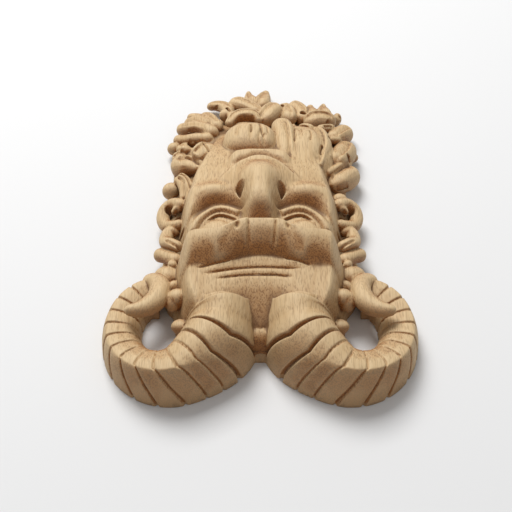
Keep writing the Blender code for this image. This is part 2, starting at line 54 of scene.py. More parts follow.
def through(table, value):  # smooth curve through (place, height) pairs
    x, y = np.array(table, float).T
    step = np.diff(x)
    slope = np.diff(y) / step
    inner = (slope[1:] * step[:-1] + slope[:-1] * step[1:]) / (step[1:] + step[:-1])
    inner[slope[1:] * slope[:-1] <= 0] = 0
    tangent = np.concatenate([slope[:1], inner, slope[-1:]])
    value = np.clip(value, x[0], x[-1])
    k = np.clip(np.searchsorted(x, value) - 1, 0, len(x) - 2)
    t = (value - x[k]) / step[k]
    bend = step[k] * (tangent[k] * t * (1 - t) ** 2 - tangent[k + 1] * t * t * (1 - t))
    return y[k] * (1 + 2 * t) * (1 - t) ** 2 + y[k + 1] * t * t * (3 - 2 * t) + bend


def lengths(line):
    return np.concatenate([[0], np.cumsum(np.linalg.norm(np.diff(line[:, :3], axis=0), axis=1))])


def flow(points, spacing):  # evenly spaced points on a smooth curve through the given ones
    points = np.array(points, float)
    padded = np.vstack([2 * points[0] - points[1], points, 2 * points[-1] - points[-2]])
    t = np.linspace(0, 1, 24, endpoint=False)[:, None]
    found = []
    for a, b, c, d in zip(padded[:-3], padded[1:-2], padded[2:-1], padded[3:]):
        third = (3 * b - a - 3 * c + d) * t**3
        found.append(0.5 * (2 * b + (c - a) * t + (2 * a - 5 * b + 4 * c - d) * t**2 + third))
    found = np.vstack(found + [points[-1:]])
    reach = lengths(found)
    at = np.linspace(0, reach[-1], max(int(reach[-1] / spacing) + 1, 4))
    return np.stack([np.interp(at, reach, column) for column in found.T], axis=1)


def softMax(a, b, blend):
    share = np.clip(0.5 + (a - b) / (2 * blend), 0, 1)
    return b * (1 - share) + a * share + blend * share * (1 - share)


def hill(x, y, centre, radii):
    return np.exp(-(((x - centre[0]) / radii[0]) ** 2) - ((y - centre[1]) / radii[1]) ** 2)


def dome(x, y, centre, radii, power=2):  # one at the middle of an oval, nothing outside it
    far = np.abs((x - centre[0]) / radii[0]) ** power + np.abs((y - centre[1]) / radii[1]) ** power
    return np.clip(1 - far, 0, 1)


def nearest(x, y, points, reach):  # distance to a path, how far along it, and on which side
    path = flow(points, 1.5)
    away = np.full(x.shape, 1e3)
    share = np.zeros(x.shape)
    low, high = path[:, :2].min(0) - reach, path[:, :2].max(0) + reach
    inside = (x > low[0]) & (x < high[0]) & (y > low[1]) & (y < high[1])
    px, py = x[inside], y[inside]
    best, at, turn = np.full(px.shape, 1e3), np.zeros(px.shape), np.zeros(px.shape)
    side = np.zeros(x.shape)
    for k, (a, b) in enumerate(zip(path[:-1, :2], path[1:, :2])):
        line = b - a
        t = np.clip(((px - a[0]) * line[0] + (py - a[1]) * line[1]) / (line @ line + 1e-9), 0, 1)
        gap = np.hypot(px - a[0] - t * line[0], py - a[1] - t * line[1])
        closer = gap < best
        best[closer] = gap[closer]
        at[closer] = ((k + t) / (len(path) - 1))[closer]
        turn[closer] = (line[0] * (py - a[1]) - line[1] * (px - a[0]))[closer]
    away[inside], share[inside], side[inside] = best, at, np.sign(turn)
    return away, share, side


def gouge(x, y, points, width, fade=0.18):  # one on the line of a V cut that runs out at its ends
    away, share = nearest(x, y, points, width)[:2]
    ends = ease(0, fade, share) * ease(0, fade, 1 - share)
    return np.clip(1 - away / (width * np.maximum(ends, 0.2) / 2), 0, 1) * ends


face = {
    "cell": 0.5,  # of the height grid
    "gridWide": 128,
    "gridLong": 240,
    "gridMiddle": 36,  # the y of the grid's middle
    "below": 6,  # how far all bodies reach below the flat back before they are cut there
    "bedHeight": 6,  # of the plate under the hair, at its edge
    "bedRise": 11,
    "rollWidth": 4.8,
    "rollDepth": 0.6,
    "panelDepth": 0.8,
    "frownWidth": 2,
    "frownDepth": 1.9,
    "eyeball": (23.5, 7),
    "eyeballWidth": 25,
    "eyeballLength": 22,
    "nostrilDepth": 5.5,
    "lipStep": 4,
    "chin": (-5.6, 85),
    "cheek": (24, 80),
    "strandWidth": 3,
    "strandDepth": 1,
}
# Height and half width of each form by y, or y by the distance from the middle
foreheadMiddle = [
    (-80, -20), (-67, -8), (-63, 6), (-58, 14.5), (-49, 21.6), (-42, 25.8), (-36, 29), (-31, 30.6),
    (-26, 31.8), (-20, 33), (-17.4, 34.2), (-15.5, 36.8), (-12.5, 40.6), (-9, 43.9), (-6, 45.9),
    (-3, 46.9), (0, 47.2), (6, 46),
]
foreheadSide = [
    (-80, 4), (-60, 22), (-50, 28.5), (-40, 31.2), (-30, 32), (-22, 32.4), (-18.5, 33.2),
    (-16, 35.6), (-13, 38.2), (-9, 40.5), (-5, 41.8), (-1, 42.1), (3, 41), (6, 39),
]
browLine = [
    (0, -0.6), (8, -0.8), (12, -1.8), (16, -3.8), (20, -5.4), (26, -6.2), (31, -5.6), (36, -5.2),
    (41, -7), (46, -11), (60, -20),
]
faceMiddle = [
    (-12, 29), (0, 30), (10, 31.5), (20, 31.5), (30, 31.5), (40, 33), (50, 33.5), (58, 32.4), (66, 31),
    (76, 28.6), (84, 26), (95, 21), (105, 15), (116, 4), (124, -12), (160, -30),
]
faceHalf = [
    (-70, 30), (-55, 36), (-40, 42.5), (-10, 45), (10, 46.5), (28, 47), (40, 46), (50, 44),
    (60, 42.5), (70, 39.5), (80, 37), (95, 33), (110, 24), (122, 8),
]
bedHalf = [
    (-80, -20), (-66, -14), (-60, 0), (-55, 16), (-50, 40), (-38, 45.5), (-30, 52), (-20, 55),
    (0, 55), (20, 55), (30, 57), (40, 56.5), (50, 53), (75, 54), (90, 54), (100, 51), (108, 47),
    (116, 42), (124, 35), (131, 26), (136, 16), (141, 6), (150, -10),
]
noseLine = [
    (2, 31), (7.5, 34.6), (12, 39.4), (16.5, 44), (21, 46), (28, 46.9), (36, 47.2), (41, 46.8), (47, 44.2),
    (52, 40.6), (56.6, 37), (60, 31), (66, 20), (76, -40),
]
noseHalf = [(2, 7.8), (12, 7.8), (20, 8.4), (30, 9.8), (38, 11), (45, 10), (51, 8.2), (56, 7), (66, 6)]
noseEdge = [(2, 5), (14, 5), (22, 3.8), (30, 2.8), (40, 2.4), (60, 2.4)]  # how square it is across
mouthLine = [
    (0, 60.5), (4, 60), (7.5, 57.8), (12, 56.2), (16, 53.6), (20, 50), (23, 45.5), (26, 40),
]
lipLine = [(0, 71), (10, 70.5), (16, 68.5), (20, 65), (26, 58)]
lidLine = [
    (12.6, 12.6), (14.5, 13.4), (17.5, 15.2), (21, 16.8), (24.5, 17), (28, 15), (30.4, 12), (32.2, 8.4),
    (33, 5),
]
lidProfile = [  # height over the cheek by the distance from the eyeball's edge
    (-3, 0), (-1.2, 0), (0, -1.5), (0.6, 1.1), (1.5, 1.1), (2, 0.1), (2.7, 1), (4.6, 2.4), (6.2, 1.8),
    (7.8, -0.6), (9.2, -2.2), (10.2, -2.2), (12, -0.9), (14.5, 0.3), (18, 0.4), (22, 0), (40, 0),
]
wrinkles = [
    ([(-36, -25.4), (-21, -22), (-8, -17.6), (3.4, -16.6), (14, -19), (28.5, -24.2)], 0.7),
    ([(-33, -29.2), (-21, -26.6), (-8, -24.2), (5, -23.8), (14, -24.5), (24, -25.8)], 1.0),
    ([(-26, -32.4), (-17, -30.4), (-8, -28.8), (6, -28.6), (13, -29.6), (20, -31.4)], 0.8),
]
frowns = [
    ([(8.8, 1), (8, -9), (7, -17)], 1.3, 0.7),
    ([(-6.8, 1), (-6.4, -9), (-6.7, -17)], 1.6, 0.5),
    ([(15, -3.4), (17.2, -9), (20.2, -14), (24, -20)], 4, 0.55),
    ([(-12.4, -3.6), (-15.4, -8), (-19, -14), (-23, -20)], 5, 0.55),
    ([(24, -16), (29, -20), (36, -20)], 6, 0.3),
    ([(-24, -16), (-30, -19), (-37, -19)], 6, 0.3),
]
frownPits = [(15.2, -5), (-12.6, -5)]
chinStrands = [
    [(0.5, 71), (-0.5, 80), (2, 92)],
    [(3, 73), (2.5, 80), (4, 86)],
    [(-6, 76), (-5.5, 82), (-6, 92)],
    [(-13, 80), (-14, 86), (-11, 93)],
]


def forehead(x, y):
    off = np.abs(x)
    fromBrow = y - through(browLine, off) - 1
    side = np.minimum(off / 36, 1.3) ** 2
    height = through(foreheadMiddle, fromBrow) * (1 - side) + through(foreheadSide, fromBrow) * side
    for points, depth in wrinkles:  # the valley between two soft rolls; its thin cut comes last
        height = height - depth * face["rollDepth"] * gouge(x, y, points, face["rollWidth"], 0.1) ** 1.6
    panel = ease(-7.6, -6, x) * ease(9.2, 7.8, x) * ease(-19, -15, fromBrow) * ease(3, 0, fromBrow)
    height = height - face["panelDepth"] * panel
    for points, width, depth in frowns:
        height = height - depth * face["frownDepth"] * gouge(x, y, points, width * face["frownWidth"], 0.3)
    for pit in frownPits:
        height = height - 1.1 * face["frownDepth"] * hill(x, y, pit, (1.3, 1.8))
    half = through(faceHalf, y)
    return height - 26 * ease(half - 7, half + 5, off) - 50 * ease(half + 3, half + 9, off)


def eye(x, y, height):  # socket, cheek, blank eyeball, lower lid and the bag under it
    height = height - 4 * hill(x, y, (24, 0), (14, 9))
    height = height + 5.6 * hill(x, y, (29, 34.8), (13, 7.5)) + 3.5 * hill(x, y, (41, 22), (6, 14))
    away, share, side = nearest(x, y, lidLine, 24)
    profile = through(lidProfile, np.where(side > 0, away, -away))
    band = ease(0, 0.12, share) * ease(0, 0.06, 1 - share)
    shown = np.where(np.abs(away) < 8, band, 1) * (away < 23)
    height = height + profile * shown * (x > 6) * (y > -2)
    ball = dome(x, y, face["eyeball"], (face["eyeballWidth"] / 2, face["eyeballLength"] / 2))
    inside = np.where((side < 0) & (ball > 0), 23 + 9 * np.sqrt(ball), -face["below"])
    return softMax(height, inside, 0.3)


def noseAndMouth(x, y, height):
    off = np.abs(x)
    mouth = y - through(mouthLine, off)
    lip = y - through(lipLine, off)
    upper = 38.5 - 5.4 * (off / 21) ** 2 - 4 * np.minimum((y - 48) / 16, 0) ** 2
    upper = upper - face["lipStep"] * ease(-0.4, 2, mouth)
    upper = upper - 40 * ease(1.5, 6, mouth) - 40 * ease(24, 34, off)
    height = softMax(height, upper, 1.5)
    bell = np.exp(-((off / through(noseHalf, y)) ** through(noseEdge, y)))
    height = np.maximum(height, height + (through(noseLine, y) - height) * bell)
    lower = 30.4 + 3.6 * ease(0, 9, mouth) - 6 * ease(-2, 4, lip) - 40 * ease(3, 9, lip)
    lower = lower - 8 * ease(13, 25, off) - 40 * ease(23, 31, off)
    height = softMax(height, np.where(mouth > -1, lower, -face["below"]), 0.6)
    for way, centre in ((-1, 11.2), (1, 12.2)):
        spread = 2.7 * np.clip((y - 26.6) / 6, 0.2, 1)
        pit = np.clip(1 - ((way * x - centre) / spread) ** 2 - ((y - 32) / 4.8) ** 2, 0, 1)
        height = height - face["nostrilDepth"] * np.sqrt(pit) * (0.35 + 0.65 * ease(37, 29, y))
    return height


def relief(x, y):  # height of the face, and of the bed that the hair lies on
    off = np.abs(x)
    half = through(faceHalf, y)
    lower = through(faceMiddle, y) - 4 * (off / 36) ** 2
    lower = lower - 24 * ease(half - 8, half + 5, off) - 50 * ease(half + 3, half + 9, off)
    lower = noseAndMouth(x, y, eye(-x, y, eye(x, y, lower)))
    upper = forehead(x, y)
    height = upper + (lower - upper) * ease(0, 3.5, y - through(browLine, off))
    chin = dome(x, y, face["chin"], (17, 15), 2.4)
    height = softMax(height, np.where(chin > 0, 23 + 12.5 * chin**0.55, -face["below"]), 1.2)
    cheek = dome(x, y, face["cheek"], (22, 28), 2.2)
    height = softMax(height, np.where(cheek > 0, 14 + 15 * cheek**0.5, -face["below"]), 3)
    for points in chinStrands:
        height = height - face["strandDepth"] * gouge(x, y, points, face["strandWidth"], 0.3)
    inside = through(bedHalf, y) - off
    bed = face["bedHeight"] + face["bedRise"] * ease(0, 20, inside) * ease(132, 96, y)
    bed = bed - 60 * ease(1.5, -2.5, inside)
    return np.maximum(softMax(height, bed, 1), -face["below"])


def faceSolid():
    bm = bmesh.new()
    wide, long = face["gridWide"], face["gridLong"]
    columns, rows = int(wide / face["cell"]), int(long / face["cell"])
    bmesh.ops.create_grid(bm, x_segments=columns, y_segments=rows, size=0.5)
    bmesh.ops.scale(bm, vec=(wide, long, 1), verts=bm.verts)
    bmesh.ops.translate(bm, vec=(0, face["gridMiddle"], -1.5 * face["below"]), verts=bm.verts)
    skirt = bmesh.ops.extrude_face_region(bm, geom=bm.faces[:])
    top = [part for part in skirt["geom"] if isinstance(part, bmesh.types.BMVert)]
    places = np.array([vert.co[:] for vert in top])
    for vert, height in zip(top, relief(places[:, 0], places[:, 1])):
        vert.co.z = height
    bmesh.ops.recalc_face_normals(bm, faces=bm.faces)
    return bm


horn = {
    "line": [
        (22.2, -42), (21.2, -51), (25, -62.6), (34.6, -72.4), (46.2, -79), (57.2, -78.2), (67, -71.2),
        (73.2, -60), (75, -47.5), (71.8, -34.4), (64, -25.4), (56, -25),
    ],
    "widths": [
        (0, 45), (0.05, 43), (0.12, 41.8), (0.18, 39), (0.28, 34), (0.42, 27.5), (0.6, 23.5), (1, 18),
    ],
    "heights": [(0, 36), (0.06, 35.5), (0.14, 35), (0.42, 26), (0.68, 17.5), (1, 15.7)],
    "keelAcross": [(0, 1), (0.12, 0.93), (0.3, 0.64), (0.55, 0.1), (0.8, -0.62), (0.9, -0.9), (1, -1)],
    "keelUp": [(0, 0), (0.12, 0.52), (0.3, 1), (0.55, 0.97), (0.8, 0.74), (0.9, 0.45), (1, 0)],
    "slant": [(0, 3), (0.25, 9), (0.45, 9), (0.6, 4), (0.8, 0), (1, -1)],
    "collar": 18,
    "collarHollow": 1.2,
    "secondRing": 10.5,
    "thinRing": 8,
    "grooveWidth": 1.4,
    "grooveDepth": 2.1,
    "deepRings": 2,  # the first rings' grooves are deeper and wider
    "deeper": 1.6,
    "rim": 3,
    "around": 97,  # points round a section
}
tip = {
    "thickness": 6,
    "line": [
        (65, -18.5, 9, 0.9), (59.5, -18, 12, 0.97), (55.6, -22.5, 15, 1), (54.8, -29.5, 17.5, 1),
        (56.6, -36.5, 19, 0.98), (60.4, -41.6, 20, 0.9), (64.6, -44.6, 21, 0.76), (69, -46, 22, 0.58),
        (72.6, -46, 22.6, 0.42),
    ],
}


def ringGrooves(place, length):
    first = horn["rim"] + horn["collar"]
    edges = [first] + list(np.arange(first + horn["secondRing"], length - 4, horn["thinRing"]))
    depth = np.zeros_like(place)
    for k, edge in enumerate(edges):
        size = horn["deeper"] if k < horn["deepRings"] else 1
        away = np.abs(place - edge) / (size * horn["grooveWidth"] / 2)
        depth = np.maximum(depth, size * np.clip(1 - away, 0, 1))
    return depth


def ringedHorn(way):
    line = flow(horn["line"], 0.6 * face["cell"])
    along = lengths(line)[:, None]
    share = along / along[-1]
    keel = 0.95 * ease(0.22, 0.4, share)
    turn = np.linspace(0, 1, horn["around"])
    across = np.cos(math.pi * turn) * (1 - keel) + through(horn["keelAcross"], turn) * keel
    rise = np.abs(np.sin(math.pi * turn)) ** (0.95 - 0.2 * ease(0.03, 0.16, share)) * (1 - keel)
    rise = rise + through(horn["keelUp"], turn) * keel
    lean = np.clip(1 - turn / 0.3, 0, 1) - 0.35 * np.clip((turn - 0.3) / 0.7, 0, 1)
    place = along + through(horn["slant"], share) * lean
    fromWaist = np.abs(place - horn["rim"] - horn["collar"] / 2) / (horn["collar"] / 2)
    hollow = horn["collarHollow"] * np.clip(1 - fromWaist, 0, 1)
    inward = horn["grooveDepth"] * ringGrooves(place, along[-1, 0]) + hollow
    inward = inward + horn["rim"] * ease(horn["rim"] + 0.6, horn["rim"] - 1.2, place)
    middle = 0.3 * through(horn["heights"], share)
    out = through(horn["widths"], share) / 2 * across
    over = through(horn["heights"], share) * rise - middle
    keep = 1 - inward / np.maximum(np.hypot(out, over), 4)
    out, over = out * keep, np.where(rise > 0.02, middle + over * keep, 0)
    forward = np.gradient(line, axis=0)
    forward /= np.linalg.norm(forward, axis=1)[:, None]
    x = line[:, :1] + forward[:, 1:] * out
    y = line[:, 1:] - forward[:, :1] * out
    rings = np.stack([way * x, y, over], -1)
    under = rings[:, [0, -1]] - (0, 0, face["below"])
    return tubeSolid(np.concatenate([under[:, :1], rings, under[:, 1:]], 1))


def tubeSolid(rings):  # a grid bent round into a closed tube
    bm = bmesh.new()
    count, around = rings.shape[:2]
    bmesh.ops.create_grid(bm, x_segments=around, y_segments=count - 1, size=0.5)
    bm.verts.ensure_lookup_table()
    closed = np.concatenate([rings, rings[:, :1]], 1).reshape(-1, 3)
    order = np.lexsort(([vert.co.x for vert in bm.verts], [round(vert.co.y, 5) for vert in bm.verts]))
    for index, point in zip(order, closed):
        bm.verts[index].co = point
    bmesh.ops.remove_doubles(bm, verts=bm.verts, dist=1e-4)
    bmesh.ops.holes_fill(bm, edges=[edge for edge in bm.edges if edge.is_boundary], sides=0)
    bmesh.ops.recalc_face_normals(bm, faces=bm.faces)
    return bm


# Each lock is a bar through points of x, y, height and half thickness.
hair = {
    "sideLocks": [  # on both sides of the face
        [(3, -48, 13, 8), (2, -54, 10, 8), (1, -61, 5, 7)],
        [(45, -18, 14, 8), (52, -13, 10, 7.5), (54, -6, 7, 6)],
        [(45, -27, 15, 8), (50, -22, 13, 7)],
        [(48, -5, 9, 6), (53.5, 0.5, 5, 5.6)],
        [(45, -6, 15, 5), (52, 1, 12.5, 4), (57, 6, 9, 4.2), (59.6, 8, 7, 4)],
        [(47.5, -11, 17, 2.6), (50.5, -6, 17, 2.4)],
        [(44, 3, 18, 3.2), (50, 7, 17, 3.6), (54, 13, 13, 4), (52.5, 21, 12, 3.8), (47, 20.5, 14, 3)],
        [(44.5, 37, 18, 4), (50.5, 42.5, 14, 4), (55.5, 41, 11, 4), (57, 35, 9.5, 4),
         (54.5, 28.5, 10, 4), (49, 24.5, 14, 3.6), (44, 24.5, 17, 3)],
        [(46, 37.5, 17, 3), (49, 36.5, 16, 2.2), (51, 34, 14, 1.8)],
        [(40, -36, 18, 6), (46, -34, 17, 5.5), (49, -40, 14, 4)],
        [(42, -45, 13, 7), (43.5, -52, 8, 5)],
        [(41, -55, 5, 5.5), (45, -56, 4, 4)],
    ],
    "locks": [
        # left of the beard, seen from the horns
        [(-50.8, 66.3, 12, 2.6), (-47.2, 60.8, 14, 3), (-45, 52, 15.5, 3), (-44.9, 43.5, 16, 2.6)],
        [(-48.3, 67.5, 14, 2.6), (-43.7, 58.5, 17, 3), (-41.4, 48.9, 18.5, 3), (-41.6, 39.5, 19, 2.6)],
        [(-52, 76, 6, 8), (-47.7, 76.8, 10, 9), (-41.4, 74.1, 15, 7), (-35, 67, 21, 3)],
        [(-53, 86, 6, 5.5), (-46.2, 91.7, 10, 5)],
        [(-51, 98, 7, 4.6), (-42, 92.9, 12, 4.6)],
        [(-40.2, 77.5, 14, 6), (-34.2, 81.5, 17.5, 8.2), (-30, 90, 17, 7)],
        [(-29, 97.4, 17, 4), (-40, 100.8, 14, 3.8), (-47.3, 104.6, 9, 4), (-53.8, 109, 6, 3.8)],
        [(-27.3, 100, 17, 5), (-33.9, 108.1, 15.5, 4.4), (-41.9, 113.6, 12, 4.6), (-52.3, 118, 6, 4.2)],
        [(-30, 110, 14, 6), (-39, 121, 9, 6), (-48, 125.5, 4, 4)],
        [(-46.8, 133.3, 4, 2.6), (-41, 130.4, 6, 3.4), (-33, 124, 9, 4)],
        [(-36, 129, 7, 5), (-31.8, 120.5, 11.5, 5.4), (-25.6, 107.1, 16, 4.4)],
        [(-34.4, 143.6, 4, 2.4), (-28.3, 143, 6, 3.4), (-22.5, 138.4, 8, 4.2), (-20.3, 129.8, 11, 4.4),
         (-23.7, 122.4, 13, 4)],
        [(-19, 131.4, 11.5, 2.4), (-18, 119.1, 15, 2.4)],
        [(-18.3, 142, 7, 5), (-13, 137.6, 10.5, 6), (-5.8, 132.4, 12.5, 5), (1, 126.2, 14, 4)],
        [(-20.5, 109, 18, 2.4), (-14.9, 116.8, 18.6, 4), (-7.6, 118.8, 18.6, 4.4), (-2.5, 117.5, 18, 4),
         (1, 112, 18, 2.4)],
        [(0.9, 112.8, 17, 5), (5.7, 123, 14.5, 7), (11.3, 134.6, 10.5, 6.4)],
        [(0.3, 135, 10, 6.5), (2.6, 149.1, 6, 5), (4.7, 159.7, 4, 1.8)],
        [(-4.3, 139.3, 9, 6), (-6.4, 150.1, 6, 3.8), (-7.4, 158.5, 5, 1.2)],
        # right of the beard
        [(13.9, 137.8, 9, 5), (18.1, 129.4, 11, 5.4), (18.8, 116.9, 15, 5)],
        [(18.9, 141.8, 6, 4.6), (24, 138.6, 7, 5.4), (27.9, 130, 9, 5.4), (28, 120, 12, 5)],
        [(12.6, 110, 19, 6), (14.8, 97.4, 22, 7.2), (16, 80, 24.5, 6.6), (17, 64, 24, 5)],
        [(25, 101.7, 19, 4.4), (24, 88, 22, 4.8), (22.6, 72, 24, 3)],
        [(20.5, 108.5, 18.5, 1.6), (23.6, 103.4, 20.5, 2.2), (28.5, 104.1, 20.5, 3), (34, 102, 19, 4)],
        [(33, 106, 16, 4.4), (36.1, 98.3, 17.5, 6.6), (37.5, 86.8, 18.5, 7), (35.8, 73.2, 22, 4.8),
         (34, 62.8, 25, 2.4)],
        [(28.9, 116.3, 13, 6), (35.8, 120.5, 11.5, 7.4), (42.6, 121.2, 10, 7.2), (46.4, 117.4, 9, 5.5)],
        [(32.5, 124, 9, 6.5), (33.2, 133.5, 7, 5.2), (33.4, 144, 5, 1.6)],
        [(41.6, 125, 9, 6.5), (41.4, 134, 7, 5), (42, 145.4, 5, 1.2)],
        [(36.1, 106.3, 18, 2.2), (41.7, 109.1, 15.5, 3), (46.6, 114.4, 12, 2.4)],
        [(46.5, 132.6, 5, 5), (52, 127.6, 5, 5)],
        [(57, 117.8, 5, 5.6), (52.4, 111.6, 8, 6.4), (44.3, 99.1, 14, 5)],
        [(54.5, 102.2, 6, 6.4), (51.9, 90, 10, 7.8), (43.6, 73.6, 17, 6.4)],
        [(40.4, 94.8, 17.5, 2), (45.6, 98.2, 15.5, 2.8), (50.2, 100.9, 12, 3.6)],
        [(61.5, 96.4, 3.4, 2.6), (54.7, 91.3, 5, 3.4)],
        [(39.6, 90.2, 19.5, 1.8), (43, 86, 19, 2), (41.5, 75.1, 21, 2.2)],
        [(39.4, 63.4, 19, 2.4), (48.8, 73.4, 16, 2.6), (55.6, 83.5, 9, 2.8)],
        [(43.3, 56.8, 15, 6), (51.4, 68.7, 10, 8), (58.2, 78, 5, 6.4)],
    ],
    "knobs": [(-53.7, 60.6, 7.4, 5.4), (-53.9, 99.9, 6.6, 4.2), (47.5, 48, 11, 5)],
}
# Cuts made once all is one body: path, width, depth
cuts = [
    # mouth and wrinkles
    ([(-22, 47), (-16, 54), (-9, 58.4), (0, 60.4), (9, 58.2), (15.5, 53.6), (22.5, 45.8)], 1.9, 2.4),
    ([(-36, -25.4), (-30, -23.9), (-21, -22), (-14, -19.6)], 1.3, 0.9),
    ([(12, -18.6), (18, -20.6), (28.5, -24.2)], 1.3, 0.9),
    ([(-33, -29.2), (-21, -26.6), (-8, -24.2), (5, -23.8), (14, -24.5), (24, -25.8)], 1.4, 1.1),
    ([(-26, -32.4), (-17, -30.4), (-8, -28.8), (6, -28.6), (13, -29.6), (20, -31.4)], 1.3, 1),
    # chin
    ([(-15.4, 98.5), (-13.6, 100.6), (-11.3, 101.3)], 2, 1.6),
    ([(-5.7, 92.7), (-5, 88), (-5.4, 83)], 1.8, 1.6),
    ([(-0.4, 97.1), (0.6, 88.3), (2.3, 79.1)], 2, 2),
    ([(3.2, 96), (4.6, 90), (4.8, 84)], 1.6, 1.2),
    # locks on the left
    ([(-50.7, 68.4), (-44.9, 62.4), (-41.7, 52.5), (-41.1, 46.8)], 1.8, 2),
    ([(-50, 64.5), (-46.5, 60), (-44.4, 54)], 1.8, 1.6),
    ([(-49.7, 87.8), (-45.1, 79.7), (-40, 74), (-35.6, 66.9)], 2.2, 1.8),
    ([(-42.4, 83), (-39.5, 75.3), (-35.6, 68.7)], 1.8, 1.4),
    ([(-35.1, 89), (-33.1, 83.3), (-29.8, 75.6)], 1.8, 1.6),
    ([(-45.3, 98.8), (-42, 96.4), (-39.5, 95.5)], 3.4, 4),
    ([(-47.8, 110.3), (-41.6, 108.2), (-35.6, 102.5)], 3, 3),
    ([(-21.7, 131), (-20, 128), (-18.8, 125.6)], 2.6, 2.6),
    ([(-11.6, 123.2), (-6.4, 122.3), (-1.8, 122.3)], 2.4, 2.2),
    # locks on the right
    ([(23.1, 108.8), (22.4, 107), (24, 104.4), (26.8, 102.7), (31.1, 101.7)], 2.4, 2.8),
    ([(22.6, 101), (21.4, 94), (21.6, 87), (20.6, 80)], 1.7, 1.6),
    ([(30.5, 97), (31.4, 90), (30.4, 83)], 1.6, 1.4),
    ([(42, 94.5), (43.6, 93.6), (45, 93.3)], 3, 3.4),
    ([(38.5, 84.4), (37, 79), (36.5, 73.4)], 2.2, 2.6),
    ([(46.2, 117.8), (48, 116.8), (50, 116.4)], 3, 3),
    ([(39.5, 107.1), (42.6, 108.8), (45.9, 111.2)], 2.4, 2.4),
    ([(54.1, 83.2), (54.3, 81), (54.3, 78.9)], 2.6, 3),
    ([(44.9, 54.9), (50, 56.6), (54, 59.6)], 2.6, 3),
    # the curls at the sides
    ([(54.5, 9.5), (49.5, 4.5), (44, 0.5)], 2.2, 1.4),
    ([(-54.5, 9.5), (-49.5, 4.5), (-44, 0.5)], 2.2, 1.4),
]
pits = [  # drilled holes: place, half width, depth
    ((-48, 14.5), 2.6, 7), ((49, 14), 2.4, 7), ((45.5, 15), 1.7, 5), ((-44.6, 15.4), 1.7, 5),
    ((-48.5, 32.5), 2.6, 4), ((-54, 38), 2, 3), ((49, 32.5), 2.6, 4), ((54, 37), 2, 3),
    ((-28.5, 138), 2, 4), ((-25.6, 130), 1.8, 4), ((27.9, 125.9), 2.2, 4), ((14.4, 133), 1.8, 3),
]
# Steps cut along the locks that are thicker than "from", as shares of the lock's half thickness
shell = {"from": 4.4, "offset": 0.3, "width": 0.8, "depth": 0.26}


carving = {
    "barStep": 0.6,  # between the rings of a bar
    "barSides": 8,
    "voxel": 0.45,
    "pitFloor": 5,  # height that no drilled hole goes below
    "triangles": 195000,
    "smoothing": 1,
    "speck": 0.04,  # edges shorter than this are closed up
}


def rounded(line):  # half thickness drawn in to nothing over the last of each end
    reach = lengths(line)
    for fromEnd, size in ((reach, line[0, 3]), (reach[-1] - reach, line[-1, 3])):
        line[:, 3] *= np.sqrt(1 - (1 - np.clip(fromEnd / size, 0.03, 1)) ** 2)
    return line


def barsMesh():  # all bars as one bevelled curve
    mirror = np.array((-1, 1, 1, 1))
    thin = (1, 1, 1, tip["thickness"])
    paired = [np.array(points, float) for points in hair["sideLocks"]] + [np.array(tip["line"]) * thin]
    bars = [np.array(points, float) for points in hair["locks"]]
    bars += paired + [points * mirror for points in paired]
    curve = bpy.data.curves.new("bars", "CURVE")
    curve.dimensions = "3D"
    curve.bevel_depth = 1
    curve.bevel_resolution = carving["barSides"]
    curve.use_fill_caps = True
    for points in bars:
        line = rounded(flow(points, carving["barStep"]))
        spline = curve.splines.new("POLY")
        spline.points.add(len(line) - 1)
        for point, (x, y, z, thick) in zip(spline.points, line):
            point.co = (x, y, z, 1)
            point.radius = thick
    holder = bpy.data.objects.new("bars", curve)
    bpy.context.scene.collection.objects.link(holder)
    mesh = evaluated(holder)
    bpy.data.objects.remove(holder)
    return mesh


def evaluated(obj):
    graph = bpy.context.evaluated_depsgraph_get()
    return bpy.data.meshes.new_from_object(obj.evaluated_get(graph))


def oneSkin():
    whole = bmesh.new()
    for part in (faceSolid(), ringedHorn(1), ringedHorn(-1)):
        mesh = bpy.data.meshes.new("part")
        part.to_mesh(mesh)
        part.free()
        whole.from_mesh(mesh)
        bpy.data.meshes.remove(mesh)
    whole.from_mesh(barsMesh())
    for x, y, z, size in hair["knobs"]:
        ball = Matrix.Translation((x, y, z))
        bmesh.ops.create_uvsphere(whole, u_segments=32, v_segments=20, radius=size, matrix=ball)
    mesh = bpy.data.meshes.new(node)
    whole.to_mesh(mesh)
    whole.free()
    print("solids together:", len(mesh.vertices), "points")
    block = bpy.data.objects.new("block", mesh)
    bpy.context.scene.collection.objects.link(block)
    skin = block.modifiers.new("skin", "REMESH")
    skin.mode = "VOXEL"
    skin.voxel_size = carving["voxel"] * 1
    mesh = evaluated(block)
    bpy.data.objects.remove(block)
    print("one skin:", len(mesh.polygons), "faces")
    return mesh


